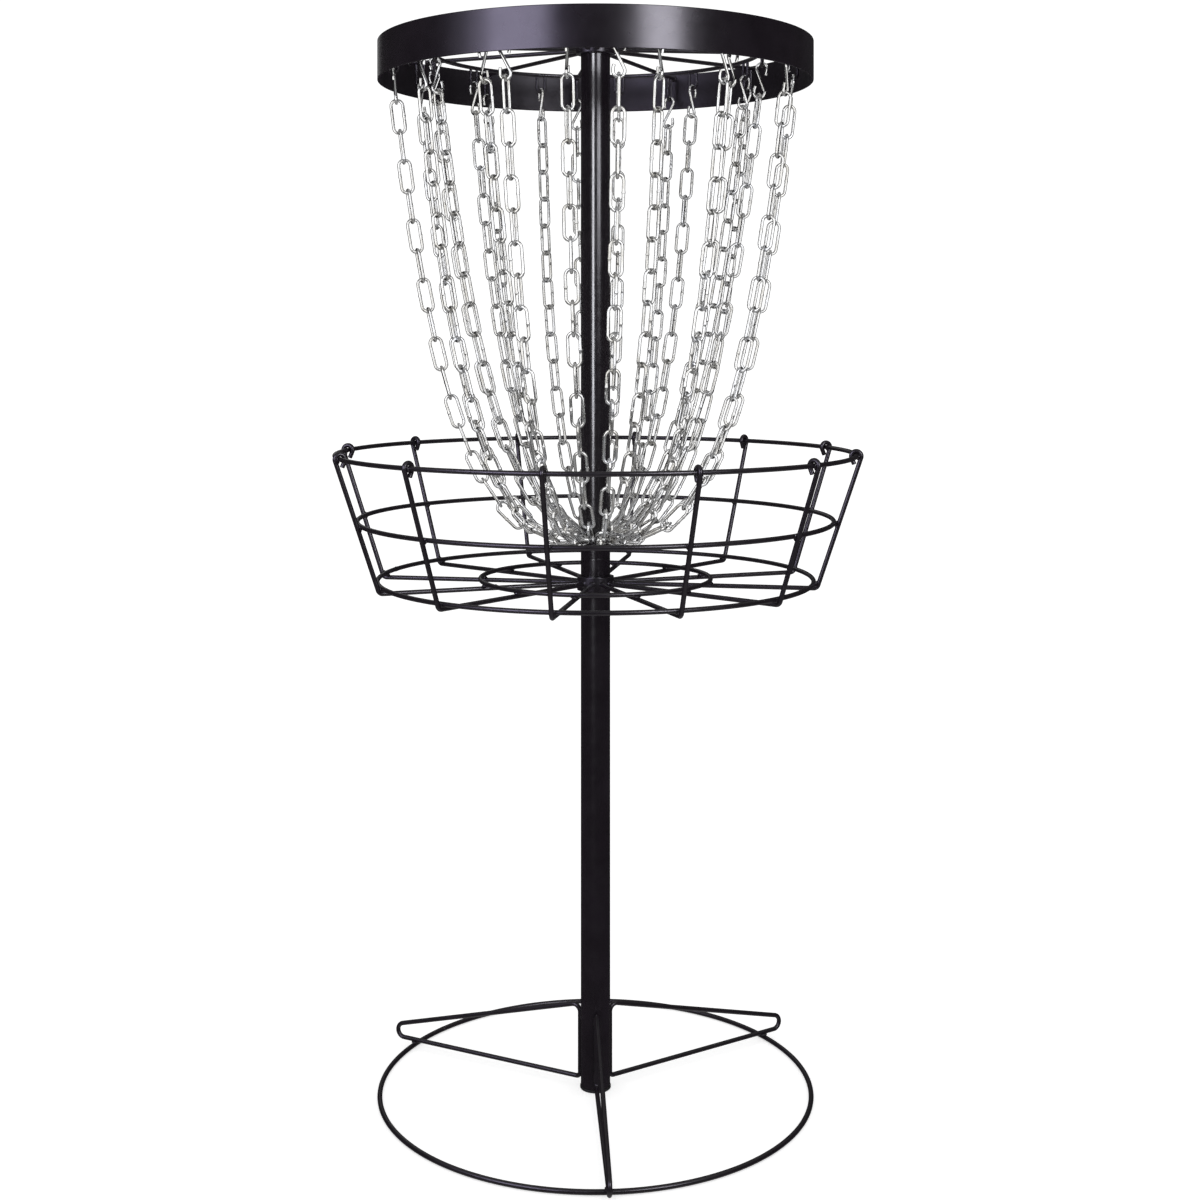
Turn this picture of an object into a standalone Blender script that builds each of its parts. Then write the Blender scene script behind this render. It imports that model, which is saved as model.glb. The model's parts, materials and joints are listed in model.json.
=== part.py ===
"""Portable disc golf basket: stand, wire tray, chain rack and twenty-four hanging chains.

Metres, +Z up. The origin is on the ground on the pole's axis. Angles are measured about the pole from +X
towards +Y, and -Y is the front. Every piece is its own object. Pieces that touch on the real basket keep GAP.
"""
import math

import bmesh
import bpy
from mathutils import Matrix, Vector

OBJECT_NAME = "disc_golf_basket"
GAP = 0.0003
MERGE = 0.0001

# Overall heights
TOTAL_HEIGHT = 1.350
RIM_HEIGHT = 0.820
MIDDLE_RING_HEIGHT = 0.7355
FLOOR_HEIGHT = 0.6587
CHAIN_RING_HEIGHT = 0.711
BAND_BOTTOM = 1.2975
BAND_TOP = 1.3475

# Pole: two tubes joined by an inner sleeve, closed by a plug at each end
POLE_RADIUS = 0.019
POLE_WALL = 0.002
POLE_SEAM = 0.685
PLUG_FLANGE = 0.0036
FOOT_LIP = 0.0009
PLUG_STEM = 0.027
COUPLER_LENGTH = 0.170
COUPLER_WALL = 0.0022
POLE_SIDES = 32

# Stand
BASE_RING_RADIUS = 0.2767
BASE_WIRE = 0.0032
LEG_WIRE = 0.003
LEG_ANGLES = (-87.0, 33.0, 153.0)
LEG_TOP = 0.105
LEG_SLOPE = 0.279
LEG_TOP_BEND = 0.009
LEG_END_BEND = 0.0095

# Basket
RIM_RADIUS = 0.3335
FLOOR_RING_RADIUS = 0.2799
INNER_RING_RADIUS = 0.1485
BASKET_WIRE = 0.003
RIB_COUNT = 12
RIB_PHASE = -10.0
RIB_HOOK_END = 203.0
RIB_TIP = 0.0085
HUB_WALL = 0.0045
HUB_HALF_HEIGHT = 0.009

# Band and rack
BAND_RADIUS = 0.2801
BAND_SHEET = 0.002
BAND_SIDES = 60
RACK_HEIGHT = 1.3415
RACK_WIRE = 0.0028
RACK_RING_RADIUS = 0.215
RACK_WELD = 0.003
RACK_COLLAR_WALL = 0.006
RACK_COLLAR_HALF_HEIGHT = 0.0065
HANGER_WIRE = 0.002
HANGER_HALF_WIDTH = 0.006

# Chains
CHAIN_COUNT = 12
OUTER_PHASE = 6.0
INNER_PHASE = 21.0
OUTER_HANGER_RADIUS = 0.260
OUTER_HANGER_HEIGHT = 1.308
INNER_HANGER_HEIGHT = 1.3145
LINK_PITCH = 0.0384
HOOK_SPAN = 0.0270
OUTER_LINKS = 17
INNER_LINKS = 16
CHAIN_ROD = 0.0032
CHAIN_POINTS = 13
CHAIN_RING_RADIUS = 0.0262
CHAIN_RING_WIRE = 0.0025
CHAIN_RING_CLEARANCE = 0.0028

# Facets
RING_SIDES = 48
CHAIN_RING_SIDES = 24
WIRE_SIDES = 6
LEG_BEND_STEPS = 7
RIB_BEND_STEPS = 4
HOOK_STEPS = 9
EYE_STEPS = 5


def clear_scene():
    for thing in list(bpy.data.objects):
        bpy.data.objects.remove(thing, do_unlink=True)


def make_collection(name):
    collection = bpy.data.collections.new(name)
    bpy.context.scene.collection.children.link(collection)
    return collection


def make_material(name, colour, roughness, metallic):
    material = bpy.data.materials.new(name)
    material.use_nodes = True
    shader = material.node_tree.nodes["Principled BSDF"]
    shader.inputs["Base Color"].default_value = (*colour, 1.0)
    shader.inputs["Roughness"].default_value = roughness
    shader.inputs["Metallic"].default_value = metallic
    return material


def black_powder_coat(name):
    return make_material(name, (0.018, 0.015, 0.022), 0.38, 0.0)


def black_plastic(name):
    return make_material(name, (0.02, 0.02, 0.02), 0.5, 0.0)


def zinc_plate(name):
    return make_material(name, (0.72, 0.73, 0.74), 0.25, 1.0)


def add_object(name, data, collection, material):
    thing = bpy.data.objects.new(name, data)
    if not data.materials:
        data.materials.append(material)
    collection.objects.link(thing)
    return thing


def bend(corner, before, after, radius, steps):
    """Points of the arc that rounds one corner of a flat path."""
    inward = (before - corner).normalized()
    outward = (after - corner).normalized()
    half_angle = inward.angle(outward) / 2
    reach = radius / math.tan(half_angle)
    centre = corner + (inward + outward).normalized() * (radius / math.sin(half_angle))
    first = corner + inward * reach - centre
    last = corner + outward * reach - centre
    turn = first.angle(last)
    axis = first.cross(last)
    return [centre + Matrix.Rotation(turn * i / steps, 3, axis) @ first for i in range(steps + 1)]


def bent_path(corners, radii, steps):
    """A path through corners, each inner corner rounded to its own radius."""
    points = [corners[0]]
    for index, radius in enumerate(radii, start=1):
        points += bend(corners[index], corners[index - 1], corners[index + 1], radius, steps)
    points.append(corners[-1])
    return points


def wire_curve(name, points, radius, sides):
    """A round wire along points: bevel_resolution n gives 2n + 4 sides."""
    curve = bpy.data.curves.new(name, "CURVE")
    curve.dimensions = "3D"
    curve.bevel_depth = radius
    curve.bevel_resolution = (sides - 4) // 2
    curve.use_fill_caps = True
    spline = curve.splines.new("POLY")
    spline.points.add(len(points) - 1)
    for spot, point in zip(spline.points, points):
        spot.co = (*point, 1.0)
    return curve


def radial(radius, height):
    """A point of the upright plane through the pole's axis and +X."""
    return Vector((radius, 0.0, height))


def ring(name, radius, height, wire, phase, collection, material, sides=WIRE_SIDES):
    """A wire hoop with a vertex at the angle phase, so that what crosses it there meets its full radius."""
    bpy.ops.mesh.primitive_torus_add(
        major_radius=radius, minor_radius=wire, major_segments=RING_SIDES, minor_segments=sides,
        location=(0, 0, height), rotation=(0, 0, math.radians(phase)))
    thing = bpy.context.object
    move_to(thing, collection)
    thing.name = name
    thing.data.name = name
    thing.data.materials.append(material)
    thing.data.shade_smooth()
    return thing


def move_to(thing, collection):
    for old in list(thing.users_collection):
        old.objects.unlink(thing)
    collection.objects.link(thing)


def turned(name, profile, closed, collection, material):
    """A solid of revolution. The profile runs down its outer side; a closed one comes back up its bore."""
    mesh = bpy.data.meshes.new(name)
    count = len(profile)
    edges = [(i, i + 1) for i in range(count - 1)]
    if closed:
        edges.append((count - 1, 0))
    mesh.from_pydata([(radius, 0, height) for radius, height in profile], edges, [])
    thing = add_object(name, mesh, collection, material)
    screw = thing.modifiers.new("turn", "SCREW")
    screw.steps = POLE_SIDES
    screw.render_steps = POLE_SIDES
    screw.use_merge_vertices = True
    screw.merge_threshold = MERGE
    return thing


def tube(name, outer, inner, bottom, top, collection, material):
    profile = [(outer, top), (outer, bottom), (inner, bottom), (inner, top)]
    return turned(name, profile, True, collection, material)


def plug_outline(stem, flange):
    """Half section of the foot plug: a stem inside the tube over a flange below it."""
    inside = [(0, PLUG_STEM), (stem, PLUG_STEM), (stem, PLUG_FLANGE)]
    return inside + [(flange, PLUG_FLANGE), (flange, 0), (0, 0)]


def build_pole(collection):
    coat = black_powder_coat("pole_black")
    plastic = black_plastic("plug_black")
    bore = POLE_RADIUS - POLE_WALL
    bottom = PLUG_FLANGE + GAP
    top = TOTAL_HEIGHT - PLUG_FLANGE - GAP
    tube("lower_pole", POLE_RADIUS, bore, bottom, POLE_SEAM, collection, coat)
    tube("upper_pole", POLE_RADIUS, bore, POLE_SEAM + GAP, top, collection, coat)
    sleeve = bore - GAP
    tube("pole_coupler", sleeve, sleeve - COUPLER_WALL, POLE_SEAM - COUPLER_LENGTH / 2,
         POLE_SEAM + COUPLER_LENGTH / 2, collection, black_powder_coat("coupler_black"))
    turned("foot_plug", plug_outline(sleeve, POLE_RADIUS + FOOT_LIP), False, collection, plastic)
    cap = [(radius, TOTAL_HEIGHT - height) for radius, height in reversed(plug_outline(sleeve, POLE_RADIUS))]
    turned("top_cap", cap, False, collection, plastic)


def leg_path():
    """One rod loop: up along the pole, out and down along the upper bar, back along the lower bar."""
    low = 2 * BASE_WIRE + GAP + LEG_WIRE
    inside = POLE_RADIUS + GAP + LEG_WIRE + MERGE
    meeting = inside + (LEG_TOP - low) / LEG_SLOPE
    butt = inside + 2 * LEG_WIRE + GAP
    start = radial(inside, low - LEG_WIRE)
    corners = [start, radial(inside, LEG_TOP), radial(meeting, low), radial(butt, low)]
    return bent_path(corners, (LEG_TOP_BEND, LEG_END_BEND), LEG_BEND_STEPS)


def build_stand(collection):
    coat = black_powder_coat("stand_black")
    ring("base_ring", BASE_RING_RADIUS, BASE_WIRE, BASE_WIRE, 0, collection, coat, sides=8)
    curve = wire_curve("leg", leg_path(), LEG_WIRE, sides=8)
    for index, angle in enumerate(LEG_ANGLES, start=1):
        leg = add_object(f"leg_{index}", curve, collection, coat)
        leg.rotation_euler.z = math.radians(angle)


def basket_radius(height):
    """Radius of the rings on the basket's slanted side."""
    share = (height - FLOOR_HEIGHT) / (RIM_HEIGHT - FLOOR_HEIGHT)
    return FLOOR_RING_RADIUS + share * (RIM_RADIUS - FLOOR_RING_RADIUS)


def rib_path():
    """From the hub out under the floor rings, up outside the side rings, and over the rim."""
    offset = 2 * BASKET_WIRE + GAP
    under = FLOOR_HEIGHT - offset
    rim = radial(RIM_RADIUS, RIM_HEIGHT)
    floor = radial(FLOOR_RING_RADIUS, FLOOR_HEIGHT)
    slant = (rim - floor).normalized()
    outward = Vector((slant.z, 0, -slant.x))
    side = floor + outward * offset
    corner = side - slant * ((side.z - under) / slant.z)
    start = radial(POLE_RADIUS + GAP + HUB_WALL + GAP, under)
    hook_start = math.degrees(math.atan2(outward.z, outward.x))
    hook = []
    for step in range(HOOK_STEPS + 1):
        angle = math.radians(hook_start + (RIB_HOOK_END - hook_start) * step / HOOK_STEPS)
        hook.append(rim + offset * Vector((math.cos(angle), 0, math.sin(angle))))
    onward = Vector((-math.sin(angle), 0, math.cos(angle)))
    tip = hook[-1] + onward * RIB_TIP
    return [start] + bend(corner, start, hook[0], offset, RIB_BEND_STEPS) + hook + [tip]


def build_basket(collection):
    coat = black_powder_coat("basket_black")
    for name, height in (("rim", RIM_HEIGHT), ("middle", MIDDLE_RING_HEIGHT), ("floor", FLOOR_HEIGHT)):
        radius = basket_radius(height)
        ring(f"basket_{name}_ring", radius, height, BASKET_WIRE, RIB_PHASE, collection, coat)
    ring("basket_inner_ring", INNER_RING_RADIUS, FLOOR_HEIGHT, BASKET_WIRE, RIB_PHASE, collection, coat)
    hub_height = FLOOR_HEIGHT - 2 * BASKET_WIRE - GAP
    hub_bore = POLE_RADIUS + GAP
    tube("basket_hub", hub_bore + HUB_WALL, hub_bore, hub_height - HUB_HALF_HEIGHT,
         hub_height + HUB_HALF_HEIGHT, collection, coat)
    curve = wire_curve("rib", rib_path(), BASKET_WIRE, WIRE_SIDES)
    for index in range(RIB_COUNT):
        rib = add_object(f"basket_rib_{index + 1:02d}", curve, collection, coat)
        rib.rotation_euler.z = math.radians(RIB_PHASE + index * 360 / RIB_COUNT)


def build_band(collection):
    """A rolled sheet hoop: an open wall thickened inwards, with a vertex in line with each spoke."""
    height = BAND_TOP - BAND_BOTTOM
    bpy.ops.mesh.primitive_cylinder_add(
        vertices=BAND_SIDES, radius=BAND_RADIUS, depth=height, end_fill_type="NOTHING",
        location=(0, 0, BAND_BOTTOM + height / 2), rotation=(0, 0, math.radians(OUTER_PHASE)))
    band = bpy.context.object
    move_to(band, collection)
    band.name = "chain_band"
    band.data.materials.append(black_powder_coat("band_black"))
    band.data.shade_smooth()
    sheet = band.modifiers.new("sheet", "SOLIDIFY")
    sheet.thickness = BAND_SHEET
    sheet.offset = -1


def solid_wire(name, points, radius, matrix, cutters):
    """A wire as a welded mesh, ready for a Boolean."""
    curve = wire_curve(name, points, radius, WIRE_SIDES)
    source = bpy.data.objects.new(name, curve)
    cutters.objects.link(source)
    source.matrix_world = matrix
    bpy.context.view_layer.update()
    evaluated = source.evaluated_get(bpy.context.evaluated_depsgraph_get())
    mesh = bpy.data.meshes.new_from_object(evaluated)
    model = bmesh.new()
    model.from_mesh(mesh)
    bmesh.ops.remove_doubles(model, verts=model.verts, dist=MERGE)
    model.to_mesh(mesh)
    model.free()
    wire = bpy.data.objects.new(name, mesh)
    cutters.objects.link(wire)
    wire.matrix_world = source.matrix_world.copy()
    bpy.data.objects.remove(source)
    hide_tool(wire)


def hide_tool(thing):
    thing.hide_render = True
    thing.display_type = "WIRE"


def hanger_points(top, bottom, across):
    """A bent wire eye: down, round the half circle that a hook sits in, and up again."""
    centre = Vector((0, 0, bottom + HANGER_HALF_WIDTH))
    points = [across * -HANGER_HALF_WIDTH + Vector((0, 0, top))]
    for step in range(EYE_STEPS + 1):
        angle = math.pi * step / EYE_STEPS
        drop = Vector((0, 0, -math.sin(angle)))
        points.append(centre + HANGER_HALF_WIDTH * (across * -math.cos(angle) + drop))
    points.append(across * HANGER_HALF_WIDTH + Vector((0, 0, top)))
    return points


def build_rack(collection, cutters):
    """The welded rack: a collar on the pole, spokes to the band, a ring under them, and the hanger eyes."""
    bore = POLE_RADIUS + GAP
    coat = black_powder_coat("rack_black")
    rack = tube("chain_rack", bore + RACK_COLLAR_WALL, bore, RACK_HEIGHT - RACK_COLLAR_HALF_HEIGHT,
                RACK_HEIGHT + RACK_COLLAR_HALF_HEIGHT - GAP, collection, coat)
    members = make_collection("rack_members")
    cutters.children.link(members)
    bpy.context.scene.collection.children.unlink(members)
    ring_height = RACK_HEIGHT - 2 * RACK_WIRE + RACK_WELD
    hoop = ring("rack_hoop", RACK_RING_RADIUS, ring_height, RACK_WIRE, OUTER_PHASE, members, coat)
    hide_tool(hoop)
    start = bore + RACK_COLLAR_WALL / 2
    end = (BAND_RADIUS - BAND_SHEET) * math.cos(math.pi / BAND_SIDES) - GAP
    for index in range(CHAIN_COUNT):
        step = index * 360 / CHAIN_COUNT
        outer = Matrix.Rotation(math.radians(OUTER_PHASE + step), 4, "Z")
        inner = Matrix.Rotation(math.radians(INNER_PHASE + step), 4, "Z")
        spoke = [radial(start, RACK_HEIGHT), radial(end, RACK_HEIGHT)]
        solid_wire(f"spoke_{index}", spoke, RACK_WIRE, outer, members)
        outer_eye = hanger_points(RACK_HEIGHT, OUTER_HANGER_HEIGHT, Vector((1, 0, 0)))
        shift = Matrix.Translation((OUTER_HANGER_RADIUS, 0, 0))
        solid_wire(f"outer_eye_{index}", outer_eye, HANGER_WIRE, outer @ shift, members)
        inner_eye = hanger_points(ring_height, INNER_HANGER_HEIGHT, Vector((0, 1, 0)))
        shift = Matrix.Translation((RACK_RING_RADIUS, 0, 0))
        solid_wire(f"inner_eye_{index}", inner_eye, HANGER_WIRE, inner @ shift, members)
    weld = rack.modifiers.new("weld", "BOOLEAN")
    weld.operation = "UNION"
    weld.operand_type = "COLLECTION"
    weld.collection = members


def catenary(start, end, length, count):
    """Points of a hanging line of the given length between two points of the radial plane."""
    across = end.x - start.x
    rise = end.z - start.z
    target = math.sqrt(length ** 2 - rise ** 2) / across
    low, high = 0.01, 10.0
    for _ in range(60):
        middle = (low + high) / 2
        if math.sinh(middle) / middle < target:
            low = middle
        else:
            high = middle
    size = across / (2 * low)
    lean = math.asinh(rise / (2 * size * math.sinh(low)))
    lowest = (start.x + end.x) / 2 - size * lean
    first = math.sinh((start.x - lowest) / size)
    last = math.sinh((end.x - lowest) / size)
    floor = start.z - size * math.cosh((start.x - lowest) / size)
    points = []
    for step in range(count):
        spread = math.asinh(first + (last - first) * step / (count - 1))
        points.append(radial(lowest + size * spread, floor + size * math.cosh(spread)))
    return points


def build_chains(collection):
    """Each chain is a rod of the chain's own length, from the chain ring up to its hanger."""
    zinc = zinc_plate("chain_zinc")
    low_end = radial(CHAIN_RING_RADIUS + CHAIN_RING_WIRE + CHAIN_RING_CLEARANCE, CHAIN_RING_HEIGHT)
    eye_depth = HANGER_WIRE + 2 * GAP
    kinds = (
        ("outer", OUTER_PHASE, radial(OUTER_HANGER_RADIUS, OUTER_HANGER_HEIGHT - eye_depth), OUTER_LINKS),
        ("inner", INNER_PHASE, radial(RACK_RING_RADIUS, INNER_HANGER_HEIGHT - eye_depth), INNER_LINKS),
    )
    for kind, phase, high_end, links in kinds:
        length = HOOK_SPAN + links * LINK_PITCH
        route = catenary(low_end, high_end, length, CHAIN_POINTS)
        curve = wire_curve(f"chain_{kind}", [point - low_end for point in route], CHAIN_ROD, WIRE_SIDES)
        for index in range(CHAIN_COUNT):
            turn = Matrix.Rotation(math.radians(phase + index * 360 / CHAIN_COUNT), 4, "Z")
            chain = add_object(f"chain_{kind}_{index + 1:02d}", curve, collection, zinc)
            chain.matrix_world = turn @ Matrix.Translation(low_end)


def build_chain_ring(collection):
    bpy.ops.mesh.primitive_torus_add(
        major_radius=CHAIN_RING_RADIUS, minor_radius=CHAIN_RING_WIRE,
        major_segments=CHAIN_RING_SIDES, minor_segments=WIRE_SIDES, location=(0, 0, CHAIN_RING_HEIGHT))
    hoop = bpy.context.object
    move_to(hoop, collection)
    hoop.name = "chain_ring"
    hoop.data.materials.append(zinc_plate("ring_zinc"))
    hoop.data.shade_smooth()


def main():
    clear_scene()
    parts = make_collection(OBJECT_NAME)
    cutters = make_collection("cutters")
    build_pole(parts)
    build_stand(parts)
    build_basket(parts)
    build_band(parts)
    build_rack(parts, cutters)
    build_chain_ring(parts)
    build_chains(parts)


main()
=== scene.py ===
"""Looks of the disc golf basket: welded black wire work, a rolled band, and hooked, linked zinc chains.

Metres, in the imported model's frame: +Z up, the pole's axis on Z, -Y the front. Shapes are built as shells,
each a pair (points, faces), which are gathered into one piece for each CAD node that they stand for. A bent
wire is drawn in the radial plane, XZ, and is then turned about the pole to its own bearing.
"""
import json
import math
import random

import bmesh
import bpy
import numpy as np
from mathutils import Matrix, Vector, noise

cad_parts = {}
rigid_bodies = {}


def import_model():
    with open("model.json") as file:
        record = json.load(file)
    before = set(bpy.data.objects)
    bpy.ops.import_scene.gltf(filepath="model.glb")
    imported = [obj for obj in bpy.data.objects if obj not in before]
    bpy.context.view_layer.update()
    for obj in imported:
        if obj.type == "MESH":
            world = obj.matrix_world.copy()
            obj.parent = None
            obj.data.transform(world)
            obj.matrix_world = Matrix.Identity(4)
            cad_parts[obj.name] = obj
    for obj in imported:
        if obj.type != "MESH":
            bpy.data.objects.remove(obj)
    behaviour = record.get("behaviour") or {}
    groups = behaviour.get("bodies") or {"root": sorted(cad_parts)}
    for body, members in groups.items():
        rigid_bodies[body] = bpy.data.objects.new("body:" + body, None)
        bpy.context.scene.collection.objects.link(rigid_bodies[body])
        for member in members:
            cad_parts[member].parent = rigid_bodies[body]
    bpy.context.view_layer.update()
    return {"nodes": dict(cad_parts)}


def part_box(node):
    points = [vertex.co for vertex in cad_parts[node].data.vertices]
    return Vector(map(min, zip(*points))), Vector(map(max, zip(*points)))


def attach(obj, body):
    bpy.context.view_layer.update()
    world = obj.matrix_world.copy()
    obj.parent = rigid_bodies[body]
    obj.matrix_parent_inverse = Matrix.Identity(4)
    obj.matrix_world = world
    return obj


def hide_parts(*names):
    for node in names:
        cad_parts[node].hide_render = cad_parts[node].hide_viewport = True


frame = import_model()
NODES = frame["nodes"]

UP = Vector((0, 0, 1))
OUTWARD = Vector((1, 0, 0))
ASIDE = Vector((0, 1, 0))

# Fit between pieces, as in the CAD
GAP = 0.0003

# Fineness: sides round a wire or a turned piece, and the broken edge of a cut wire
WIRE_SIDES = 14
CHAIN_SIDES = 12
TURNED_SIDES = 96
BAND_SIDES = 288
CUT_EDGE = 0.0004

# A weld bead's surface: how rough, how coarse, and how far apart the patterns of two seeds are
BEAD_ROUGHNESS = 0.22
BEAD_GRAIN = 1.7
BEAD_SEED_STEP = 7.3

# Pole
POLE_WALL = 0.002
COUPLER_GAP = 0.0003
TUBE_EDGE = 0.0003
PLUG_EDGE = 0.0012
LATHE_SUPPORT = 0.001

# Legs. A weld's sizes are its half sizes outward, aside and up, here and below.
LEG_WIRE = 0.003
LEG_CLEARANCE = 0.0001
LEG_TOP = 0.105
LEG_SLOPE = 0.279
LEG_FOOT_BEND = 0.0055
LEG_TOP_BEND = 0.009
LEG_END_BEND = 0.0095
LEG_RING_WELD = (0.0048, 0.0048, 0.0019)
LEG_TOP_WELD = (0.0016, 0.0036, 0.009)
LEG_FOOT_WELD = (0.0016, 0.0036, 0.010)
LEG_TOP_WELD_DROP = 0.014
LEG_FOOT_WELD_RISE = 0.012
BASE_SEAM = (0.0036, 0.0045, 0.0029)
BASE_SEAM_BEARING = 140

# How far the middle of a weld stands off the sheet or tube that it is on
WELD_STANDOFF = 0.0012

# Basket
HUB_WALL = 0.0045
RIB_HOOK_END = 203.0
RIB_TIP = 0.0085
HOOP_SEAM = (0.0031, 0.0045, 0.0034)
HOOP_SEAM_BEARING = 63
HOOP_SEAM_STEP = 50
RIB_SIDE_WELD = (0.0017, 0.0044, 0.0044)
RIB_FLOOR_WELD = (0.0044, 0.0044, 0.0017)
RIB_HUB_WELD = (0.0026, 0.0042, 0.0044)

# Band and rack
BAND_SHEET = 0.002
BAND_EDGE = 0.0008
BAND_SEAM_BEARING = 96
BAND_SEAM_MARGIN = 0.0012
RACK_HEIGHT = 1.3415
RACK_WIRE = 0.0028
RACK_RING_RADIUS = 0.215
RACK_RING_DROP = 0.0026
RACK_COLLAR_WALL = 0.006
SPOKE_COLLAR_WELD = (0.0022, 0.0038, 0.0036)
SPOKE_BAND_WELD = (0.0022, 0.0042, 0.0040)
SPOKE_RING_WELD = (0.0042, 0.0042, 0.0034)
HANGER_WIRE = 0.002
HANGER_HALF_WIDTH = 0.006
OUTER_HANGER_RADIUS = 0.260
OUTER_HANGER_HEIGHT = 1.308
INNER_HANGER_HEIGHT = 1.3145

# Chains. The pitch is a link's inside length, and the hook's reach is from its eye to the first link. Yaw is
# how far a chain's upper links are turned about it, in degrees, on top of the right angle between links.
# A hook turns by a small share of the yaw, so that it hardly touches its eye when the chain swings.
LINK_PITCH = 0.0384
LINK_WIRE = 0.0020
LINK_HALF_WIDTH = 0.0075
LINK_PLAY = 0.0001
LINK_WELD_SWELL = 0.24
LINK_WELD_REACH = 0.0012
HOOK_WIRE = 0.0020
HOOK_CROOK = 0.0068
HOOK_HALF_SPACING = 0.01515
HOOK_REACH = 0.0379
HOOK_TIP = 0.0075
HOOK_SHARE = 0.08
RING_HOLD = 0.0028
RING_SETTLE = 0.0014
RING_SEAM = (0.0028, 0.0013, 0.0028)
CHAIN_SWAY = 0.004
YAW_SCATTER = 6
YAW_DRIFT = 7
HOOK_SCATTER = 4
CHAINS = {
    "outer": {
        "radius": OUTER_HANGER_RADIUS,
        "height": OUTER_HANGER_HEIGHT,
        "links": 17,
        "turn": 90,
        "yaw": 0,
    },
    "inner": {
        "radius": RACK_RING_RADIUS,
        "height": INNER_HANGER_HEIGHT,
        "links": 16,
        "turn": 0,
        "yaw": 27,
    },
}

# Camera: level, straight in front, with its lens shifted down to take in the base
LENS = 51.17
LENS_SHIFT = (0.00375, -0.22167)
CAMERA_DISTANCE = 2.206
CAMERA_HEIGHT = 0.9739

# Studio: the floor's half width, the white that shows, the fill on matt surfaces, the floor's own light, what
# reflections see of the room at its sides and above and below, and the tints of the lamps
FLOOR_HALF = 30.0
ROOM_LIGHT = 1.1
FILL_LIGHT = 0.6
FLOOR_GLOW = 0.6
DIM_LIGHT = 0.03
STEEP_LIGHT = 0.5
VIOLET = (0.78, 0.72, 1.0)
PALE_VIOLET = (0.82, 0.78, 1.0)
COOL_WHITE = (0.91, 0.88, 1.0)
PALE_BLUE = (0.93, 0.94, 1.0)
PALE_LILAC = (0.93, 0.93, 1.0)


# ---------------------------------------------------------------- shells

def unit(vectors):
    return vectors / np.linalg.norm(vectors, axis=-1, keepdims=True)


def sweep(path, radii, sides, normal, closed=False):
    """A round wire along a flat path whose plane has the given normal. Open wires get plain cut ends."""
    path = np.array([tuple(point) for point in path], float)
    radii = np.broadcast_to(np.asarray(radii, float), len(path))
    if closed:
        tangents = unit(np.roll(path, -1, axis=0) - np.roll(path, 1, axis=0))
    else:
        tangents = unit(np.gradient(path, axis=0))
    normals = np.broadcast_to(np.array(tuple(normal), float), path.shape)
    across = np.cross(tangents, normals)
    angles = np.arange(sides) * 2 * math.pi / sides
    spokes = (np.cos(angles)[None, :, None] * normals[:, None, :]
              + np.sin(angles)[None, :, None] * across[:, None, :])
    points = (path[:, None, :] + radii[:, None, None] * spokes).reshape(-1, 3)
    return points, strip_faces(len(path), sides, closed)


def strip_faces(rings, sides, closed):
    """Quads between rings of points, with end caps where the strip is open."""
    faces = []
    for ring in range(rings if closed else rings - 1):
        here = ring * sides
        there = (ring + 1) % rings * sides
        for side in range(sides):
            after = (side + 1) % sides
            faces.append((here + side, here + after, there + after, there + side))
    if not closed:
        faces.append(tuple(reversed(range(sides))))
        faces.append(tuple(range((rings - 1) * sides, rings * sides)))
    return faces


def supported(line, reach, closed=False):
    """The line with a point near each end of its long straight runs, which keeps their shading straight."""
    line = [Vector(point) for point in line]
    full = []
    for index, point in enumerate(line):
        full.append(point)
        if index == len(line) - 1 and not closed:
            break
        after = line[(index + 1) % len(line)]
        if (after - point).length > 4 * reach:
            step = (after - point).normalized() * reach
            full += [point + step, after - step]
    return full


def cut_wire(path, radius, sides, normal):
    """A wire with cut ends, whose edges are slightly broken."""
    path = supported(path, 2 * radius)
    first = path[0] + (path[1] - path[0]).normalized() * CUT_EDGE
    last = path[-1] + (path[-2] - path[-1]).normalized() * CUT_EDGE
    full = [path[0], first, *path[1:-1], last, path[-1]]
    radii = [radius - CUT_EDGE] + [radius] * (len(full) - 2) + [radius - CUT_EDGE]
    return sweep(full, radii, sides, normal)


def hoop(radius, wire, height, segments=192, sides=16):
    """A level wire ring about the pole's axis."""
    angles = np.arange(segments) * 2 * math.pi / segments
    path = np.column_stack((radius * np.cos(angles), radius * np.sin(angles), np.full(segments, height)))
    return sweep(path, wire, sides, UP, closed=True)


def lathe(profile, sides):
    """A turned solid from an outline of (radius, height): closed, or open from the axis back to the axis."""
    closed = profile[0][0] > 0
    profile = supported(profile, LATHE_SUPPORT, closed)
    rows = profile if closed else profile[1:-1]
    angles = np.arange(sides) * 2 * math.pi / sides
    points = [(r * math.cos(a), r * math.sin(a), z) for r, z in rows for a in angles]
    faces = [face[::-1] for face in strip_faces(len(rows), sides, closed)]
    if closed:
        return np.array(points), faces
    faces = faces[:-2]
    points += [(0, 0, profile[0][1]), (0, 0, profile[-1][1])]
    top, bottom = len(points) - 2, len(points) - 1
    last = (len(rows) - 1) * sides
    for side in range(sides):
        after = (side + 1) % sides
        faces.append((top, side, after))
        faces.append((bottom, last + after, last + side))
    return np.array(points), faces


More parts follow.
